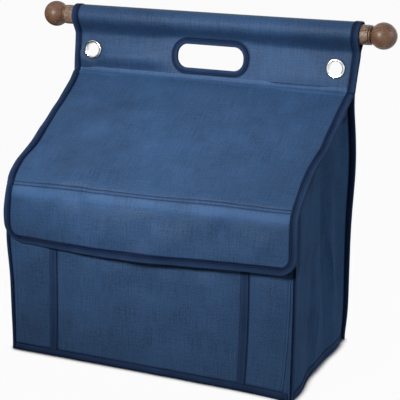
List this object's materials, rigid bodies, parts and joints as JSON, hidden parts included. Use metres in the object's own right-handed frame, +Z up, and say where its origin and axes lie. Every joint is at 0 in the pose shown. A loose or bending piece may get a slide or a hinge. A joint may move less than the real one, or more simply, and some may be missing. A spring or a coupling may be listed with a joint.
{
  "type": "grooming bag",
  "caption": "Stiffened cloth grooming bag with a sloping lid, front flap, divided pocket, hand hole, eyelets and a wooden hanging pole with ball ends.",
  "frame": {"origin": "on the floor under the middle of the whole bag's box", "axes": "+X along the pole, to the right seen from the front; +Y to the back; +Z up"},
  "size_m": [0.6228, 0.29, 0.5272],
  "materials": {
    "navy_cloth": "coated plain-weave polyester, slight sheen",
    "dark_lining": "thin dark polyester lining",
    "navy_binding": "folded woven tape with stitching",
    "stiffening_board": "pressed stiffening board",
    "hook_and_loop": "hook-and-loop strip",
    "nickel_plate": "bright nickel plate",
    "stud_steel": "bright zinc-plated steel",
    "walnut_stain": "walnut-stained beech, satin lacquer"
  },
  "bodies": {
    "bag_body": {"back_binding_left": "navy_binding", "back_binding_right": "navy_binding", "back_board": "stiffening_board", "back_cloth": "navy_cloth", "back_lining": "dark_lining", "base_board": "stiffening_board", "base_cloth": "navy_cloth", "base_lining": "dark_lining", "eyelet_left": "nickel_plate", "eyelet_right": "nickel_plate", "eyelet_washer_left": "nickel_plate", "eyelet_washer_right": "nickel_plate", "front_board": "stiffening_board", "front_cloth": "navy_cloth", "front_corner_binding_left": "navy_binding", "front_corner_binding_right": "navy_binding", "front_lining": "dark_lining", "front_top_binding": "navy_binding", "gusset_cloth_left": "navy_cloth", "gusset_cloth_right": "navy_cloth", "gusset_lining_left": "dark_lining", "gusset_lining_right": "dark_lining", "gusset_top_binding_left": "navy_binding", "gusset_top_binding_right": "navy_binding", "hand_hole_binding": "navy_binding", "header_binding_left": "navy_binding", "header_binding_right": "navy_binding", "header_sleeve": "navy_cloth", "hem_back": "navy_binding", "hem_front": "navy_binding", "hem_left": "navy_binding", "hem_right": "navy_binding", "loop_strip": "hook_and_loop", "pocket_cloth": "navy_cloth", "pocket_tape_left": "navy_binding", "pocket_tape_right": "navy_binding"},
    "lid": {"lid_cloth": "navy_cloth", "lid_board": "stiffening_board", "lid_lining": "dark_lining", "lid_binding_left": "navy_binding", "lid_binding_right": "navy_binding"},
    "flap": {"flap_cloth": "navy_cloth", "flap_board": "stiffening_board", "flap_lining": "dark_lining", "flap_binding": "navy_binding", "hook_strip": "hook_and_loop"},
    "pole": {"pole": "walnut_stain"},
    "stud_left": {"stud_left": "stud_steel"},
    "stud_right": {"stud_right": "stud_steel"},
    "finial_left": {"finial_left": "walnut_stain"},
    "finial_right": {"finial_right": "walnut_stain"}
  },
  "joints": [
    {"name": "lid_hinge", "type": "hinge", "parent": "bag_body", "child": "lid", "pos_m": [0, 0.10596, 0.417], "axis": [-1, 0, 0], "range_deg": [0, 115]},
    {"name": "flap_fold", "type": "hinge", "parent": "lid", "child": "flap", "pos_m": [0, -0.12961, 0.28822], "axis": [-1, 0, 0], "range_deg": [0, 180]},
    {"name": "pole_slide", "type": "slide", "parent": "bag_body", "child": "pole", "axis": [1, 0, 0], "range_m": [-0.021, 0.021]},
    {"name": "stud_left_travel", "type": "slide", "parent": "pole", "child": "stud_left", "axis": [-1, 0, 0], "range_m": [0, 0.012]},
    {"name": "finial_left_turn", "type": "hinge", "parent": "stud_left", "child": "finial_left", "pos_m": [-0.2685, 0.12384, 0.50599], "axis": [-1, 0, 0], "range_deg": [0, 4320]},
    {"name": "stud_right_travel", "type": "slide", "parent": "pole", "child": "stud_right", "axis": [1, 0, 0], "range_m": [0, 0.012]},
    {"name": "finial_right_turn", "type": "hinge", "parent": "stud_right", "child": "finial_right", "pos_m": [0.2685, 0.12384, 0.50599], "axis": [1, 0, 0], "range_deg": [0, 4320]}
  ],
  "couplings": [
    {"joint": "stud_left_travel", "follows": "finial_left_turn", "m_per_rad": 0.00015915},
    {"joint": "stud_right_travel", "follows": "finial_right_turn", "m_per_rad": 0.00015915}
  ]
}
